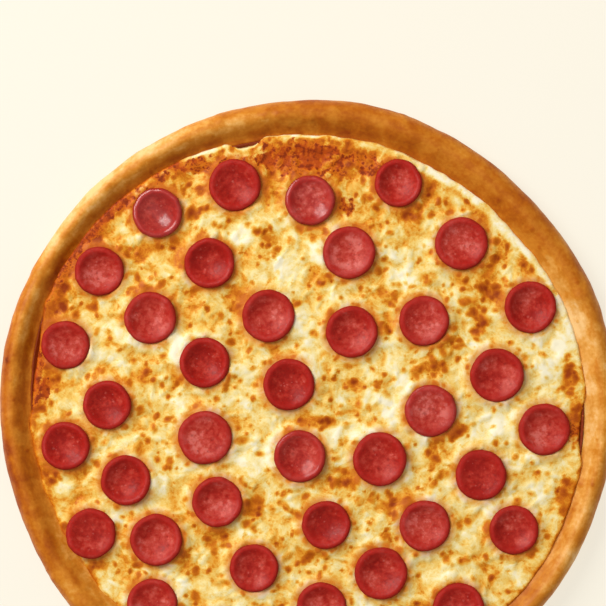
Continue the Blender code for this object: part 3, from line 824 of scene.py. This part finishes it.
def cheese_surface():
    """The top of the cheese: its points, and for each the masks that its colour reads."""
    line = np.linspace(-1, 1, CHEESE_CELLS + 1)
    v, u = np.meshgrid(line, line, indexing="ij")
    disc_x, disc_y = (u * np.sqrt(1 - v * v / 2)).ravel(), (v * np.sqrt(1 - u * u / 2)).ravel()
    reach, angle = np.hypot(disc_x, disc_y), np.arctan2(disc_y, disc_x)
    edge_ring = np.stack([np.cos(angle), np.sin(angle), np.zeros_like(angle)], axis=1) * PIZZA_RADIUS
    bare = sum(angle_window(angle, middle, half) for middle, half in BARE_RIMS)
    edge = CHEESE_EDGE + ripples(edge_ring, CHEESE_EDGE_WAVES) - EDGE_PULLED_IN * np.clip(bare, 0, 1)
    even = edge * reach
    real = to_real_rim(angle, even)
    x, y = real * np.cos(angle), real * np.sin(angle)
    flat = np.stack([x, y, np.zeros_like(x)], axis=1)
    inner = 1 - reach ** 8
    cell = 2 * CHEESE_EDGE / CHEESE_CELLS
    shreds = shred_relief(x, y, cell)
    red_marks = near(flat, SAUCE_BREAKS)
    soft_curds = 0.8 * scattered_blobs(x, y, SOFT_CURDS, SOFT_CURD_WIDTHS)
    curds = np.maximum(near(flat, WHITE_CURDS), soft_curds)
    golden = near(flat, GOLDEN_ZONES)
    curds = curds * (1 - golden)
    chance_of_one = np.clip(0.36 + 0.35 * ripple(flat, 24 * MM, 5.5) + 0.6 * golden - 0.2 * curds, 0.06, 1)
    toast = scattered_blobs(x, y, BLISTERS, BLISTER_WIDTHS, chance_of_one)
    height = CHEESE_TOP + CHEESE_LUMP * inner * ripple(flat, CHEESE_LUMP_SPACING)
    height -= CHEESE_EDGE_DROP * (1 - inner)
    height += SHRED_HEIGHT * (shreds - SHRED_MEAN)
    height += ripples(flat, CHEESE_RIPPLES)
    height += CURD_HEIGHT * curds - BREAK_DEPTH * red_marks + BLISTER_HEIGHT * toast
    close = np.zeros_like(x)
    for node, (matrix, radius, fold) in slice_places.items():
        base, up = matrix.translation, matrix.col[2]
        dx, dy = x - base.x, y - base.y
        away = np.hypot(dx, dy) / radius
        close = np.maximum(close, 1 - smooth_step(away, 1.02, 1.34))
        local = np.where(away < 1.6)[0]
        turn = np.arctan2(dy[local], dx[local])
        slope = (up[0] * dx[local] + up[1] * dy[local]) / up[2]
        under = base.z - slope + cup_lift(away[local], turn, fold, sunk_by(node))
        free = height[local] + SWELL * (1 - smooth_step(away[local], 1.05, 1.5))
        held = 1 - smooth_step(away[local], 0.62, 0.80)
        limit = under - LIP_CLEARANCE * (1 - held) + SEAT_LIMIT * held
        limit = limit + np.clip(away[local] - 0.99, 0, None) * RISE_PAST_LIP
        height[local] = np.minimum(free, limit) * (1 - held) + (under + SLICE_SEAT) * held
    from_edge = edge * (1 - reach)
    over_sauce = sauce_height(even) + SAUCE_CLEARANCE
    lower = np.where(even < SAUCE_TIP_RADIUS, over_sauce, slope_height(even) - INTO_SLOPE)
    inwards = np.clip(from_edge / CHEESE_EDGE_ROUND, 0, 1)
    rounding = np.sqrt(np.clip(1 - (1 - inwards) ** 2, 0, 1))
    past_sauce = smooth_step(even, SAUCE_TIP_RADIUS + 0.3 * MM, CHEESE_EDGE)
    cover = sauce_height(even) * (1 - past_sauce) + slope_height(even) * past_sauce
    height = np.maximum(height, cover + LEAST_THICKNESS)
    held_up = 1 - smooth_step(from_edge, *EDGE_HELD_UP)
    height += held_up * np.clip(EDGE_LEVEL - height, 0, None)
    height = lower + (height - lower) * rounding
    pale = edge_band(angle, from_edge + 1.5 * MM * ripple(flat, 8 * MM, 3.3), PALE_RIMS)
    baked_edge = (1 - smooth_step(from_edge, 0.5 * MM, 4 * MM)) * (1 - pale)
    # Red-brown band along the rim's foot in the north-west and west: partly sauce showing, partly painted
    # shade
    sauce_and_shade_rims = edge_band(angle, from_edge + 2.5 * MM * ripple(flat, 9 * MM, 6.6), SAUCE_AND_SHADE_RIMS)
    red_marks = np.maximum(red_marks, 0.92 * sauce_and_shade_rims) * (1 - pale)
    # Paler and deeper tones, and painted shade on the edge where the rim's inner slope is shaded (north-west
    # and west)
    sides_and_painted_shade = np.zeros_like(x)
    for middle, half, first, last, amount in CHEESE_SIDES_AND_PAINTED_SHADE:
        begun = smooth_step(real, (first - ZONE_BLUR) * MM, (first + ZONE_BLUR) * MM)
        within = begun * (1 - smooth_step(real, (last - ZONE_BLUR) * MM, (last + ZONE_BLUR) * MM))
        sides_and_painted_shade += amount * within * angle_window(angle, middle, half)
    outer = 0.45 * smooth_step(reach, 0.70, 0.98) * (1 - angle_window(angle, -8, 40))
    outer = (outer + 0.24 * smooth_step(reach, 0.15, 0.60) * angle_window(angle, 116, 48)) * (1 - pale)
    creamy = 0.35 * smooth_step(reach, 0.30, 0.70) * angle_window(angle, -6, 30) * (1 - golden)
    curds = np.maximum(curds, creamy)
    golden = np.maximum(golden * (1 - pale), np.maximum(baked_edge, outer))
    masks = {"shred": shreds, "sauce_break_and_shade": red_marks, "curd": np.maximum(curds, pale), "close": close,
             "baked_side_and_painted_light": sides_and_painted_shade, "toast": toast * (1 - pale), "golden": golden}
    return np.stack([x, y, height], axis=1), masks, angle


def cheese_mesh():
    """The top surface as a grid, with its edge drawn down and in to the flat underside."""
    points, masks, angle = cheese_surface()
    side = CHEESE_CELLS + 1
    last = side * side - 1
    rim = list(range(side)) + [i * side + side - 1 for i in range(1, side)]
    rim += [last - i for i in range(1, side)] + [(side - 1 - i) * side for i in range(1, side - 1)]
    bottom_radius = to_real_rim(angle[rim], np.full(len(rim), CHEESE_BOTTOM_RADIUS))
    bottom = np.stack([bottom_radius * np.cos(angle[rim]), bottom_radius * np.sin(angle[rim]),
                       np.full(len(rim), CHEESE_BOTTOM)], axis=1)
    centre = np.array([[0, 0, CHEESE_BOTTOM]])
    first_low, middle = len(points), len(points) + len(rim)
    faces = []
    for row in range(CHEESE_CELLS):
        start = row * side
        faces += [(i, i + 1, i + 1 + side, i + side) for i in range(start, start + CHEESE_CELLS)]
    for i in range(len(rim)):
        after = (i + 1) % len(rim)
        faces.append((rim[after], rim[i], first_low + i, first_low + after))
        faces.append((first_low + after, first_low + i, middle))
    mesh = bpy.data.meshes.new("cheese_melted")
    mesh.from_pydata(np.concatenate([points, bottom, centre]).tolist(), [], faces)
    mesh.shade_smooth()
    for name, values in masks.items():
        store(mesh, name, np.concatenate([values, values[rim], [0]]))
    return mesh


def cheese_material():
    """Cream where the curds are thick, golden where oil gathered, brown at blisters, red over thin places;
    red-brown and darker along the rim's shaded north-west and west foot, which is painted shade.
    """
    made, tree, place, shader = new_material("melted_cheese")
    # The sides' tone also holds painted shade at the north-west and west edge
    shred, curd, golden, toast, close, thin, side = (attribute(tree, name) for name in (
        "shred", "curd", "golden", "toast", "close", "sauce_break_and_shade", "baked_side_and_painted_light"))
    patch = cloud(tree, place, 10 * MM, 4, 0.6, 0.5)
    fine = cloud(tree, place, 3 * MM, 4, 0.62)
    grain = cloud(tree, place, 1.2 * MM, 3, 0.6)
    speck_inputs = {"Place": place, "Spacing": 4.6 * MM, "Share": 0.30, "Width": 0.36, "Blur": 0.9}
    specks = use(tree, spots, speck_inputs)
    spotted = total(tree, toast, remap_linear(tree, fine, 0.3, 0.7, -0.46, 0.46))
    tone = total(tree, 0.54, side,
                 remap_linear(tree, patch, 0.3, 0.7, -0.40, 0.40),
                 remap_linear(tree, fine, 0.3, 0.7, -0.26, 0.26),
                 remap_linear(tree, shred, 0, 1, -0.08, 0.12),
                 calc(tree, "MULTIPLY", curd, 0.38),
                 calc(tree, "MULTIPLY", golden, -0.40),
                 remap(tree, spotted, -0.05, 0.45, 0.0, -0.36),
                 remap(tree, spotted, 0.40, 1.0, 0.0, -0.36),
                 calc(tree, "MULTIPLY", specks["Mask"], -0.34))
    tint = ramp(tree, remap_linear(tree, tone, -0.6, 1.0, 0.0, 1.0),
                (0.0, (150, 56, 1)), (0.20, (180, 86, 3)), (0.38, (208, 115, 12)), (0.50, (230, 154, 40)),
                (0.64, (242, 199, 98)), (0.80, (250, 228, 157)), (1.0, (255, 246, 214)))
    ring = calc(tree, "MULTIPLY", close, remap(tree, curd, 0.1, 0.7, 0.66, 0.1))
    tint = mix(tree, ring, tint, colour(212, 112, 36))
    # The red comes from sauce over thin places and, along the rim's shaded foot, from painted shade
    red = total(tree, calc(tree, "MULTIPLY", thin, 1.32), -0.3,
                remap_linear(tree, patch, 0.3, 0.7, -0.4, 0.4),
                remap_linear(tree, fine, 0.3, 0.7, -0.7, 0.7),
                remap_linear(tree, shred, 0, 1, 0.30, -0.75))
    red = calc(tree, "MULTIPLY", red, remap(tree, thin, 0.0, 0.2))
    tint = mix(tree, remap(tree, red, 0.35, 0.70, 0.0, 0.9), tint, colour(212, 108, 14))
    deep = mix(tree, remap(tree, fine, 0.48, 0.62), colour(182, 70, 9), colour(126, 32, 4))
    tint = mix(tree, remap(tree, red, 0.70, 1.15, 0.0, 0.9), tint, deep)
    tree.links.new(tint, shader.inputs["Base Color"])
    tree.links.new(remap(tree, fine, 0.3, 0.7, 0.38, 0.58), shader.inputs["Roughness"])
    shader.inputs["Specular IOR Level"].default_value = 0.14
    bump(tree, shader, (patch, 0.6 * MM), (fine, 0.28 * MM), (grain, 0.05 * MM))
    return made


cheese = bpy.data.objects.new("cheese_melted", cheese_mesh())
bpy.context.scene.collection.objects.link(cheese)
cheese.data.materials.append(cheese_material())
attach(cheese, "root")
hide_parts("cheese")


# The stage: a plain cream floor, one large soft light from the upper left of the picture, and an even fill.
# The camera looks straight down, so that the picture's width covers the same stretch of the pizza.
MM_PER_PIXEL = 0.579 * MM
PICTURE_PIXELS = 606
PIZZA_CENTRE_PIXEL = (307.5, 408)
CAMERA_HEIGHT = 1.30
SENSOR_WIDTH = 36
FLOOR_SIDE = 6.0
KEY_PLACE = (-1.23, 1.07, 1.47)
KEY_SIDE = 1.3
KEY_WATTS = 47
FILL_PLACE = (0.2, -0.2, 2.6)
FILL_SIDE = 2.6
FILL_WATTS = 6

floor_mesh = bpy.data.meshes.new("floor")
half_side = FLOOR_SIDE / 2
floor_mesh.from_pydata([(-half_side, -half_side, 0), (half_side, -half_side, 0), (half_side, half_side, 0),
                        (-half_side, half_side, 0)], [], [(0, 1, 2, 3)])
floor = bpy.data.objects.new("floor", floor_mesh)
bpy.context.scene.collection.objects.link(floor)
paper = bpy.data.materials.new("pale_floor")
paper.use_nodes = True
paper_shader = paper.node_tree.nodes["Principled BSDF"]
paper_shader.inputs["Base Color"].default_value = colour(130, 127, 119)
paper_shader.inputs["Roughness"].default_value = 0.9
paper_shader.inputs["Emission Color"].default_value = colour(254, 247, 230)
paper_shader.inputs["Emission Strength"].default_value = 0.76
floor.data.materials.append(paper)


def area_light(name, place, side, watts, tint):
    """A square soft light that faces the middle of the pizza."""
    data = bpy.data.lights.new(name, "AREA")
    data.shape, data.size, data.energy, data.color = "SQUARE", side, watts, tint
    light = bpy.data.objects.new(name, data)
    light.location = place
    light.rotation_euler = (-Vector(place)).to_track_quat("-Z", "Y").to_euler()
    bpy.context.scene.collection.objects.link(light)


area_light("key", KEY_PLACE, KEY_SIDE, KEY_WATTS, (1, 0.985, 0.95))
area_light("top_fill", FILL_PLACE, FILL_SIDE, FILL_WATTS, (1, 1, 1))
world = bpy.data.worlds.new("studio")
bpy.context.scene.world = world
world.use_nodes = True
world.node_tree.nodes["Background"].inputs["Color"].default_value = (1.0, 0.98, 0.94, 1)
world.node_tree.nodes["Background"].inputs["Strength"].default_value = 0.33
bpy.context.scene.view_settings.view_transform = "Standard"

camera_data = bpy.data.cameras.new("camera")
camera_data.sensor_width = SENSOR_WIDTH
camera_data.lens = SENSOR_WIDTH * (CAMERA_HEIGHT - BELLY_HEIGHT) / (PICTURE_PIXELS * MM_PER_PIXEL)
camera = bpy.data.objects.new("camera", camera_data)
camera.location = ((PICTURE_PIXELS / 2 - PIZZA_CENTRE_PIXEL[0]) * MM_PER_PIXEL,
                   (PIZZA_CENTRE_PIXEL[1] - PICTURE_PIXELS / 2) * MM_PER_PIXEL, CAMERA_HEIGHT)
bpy.context.scene.collection.objects.link(camera)
bpy.context.scene.camera = camera
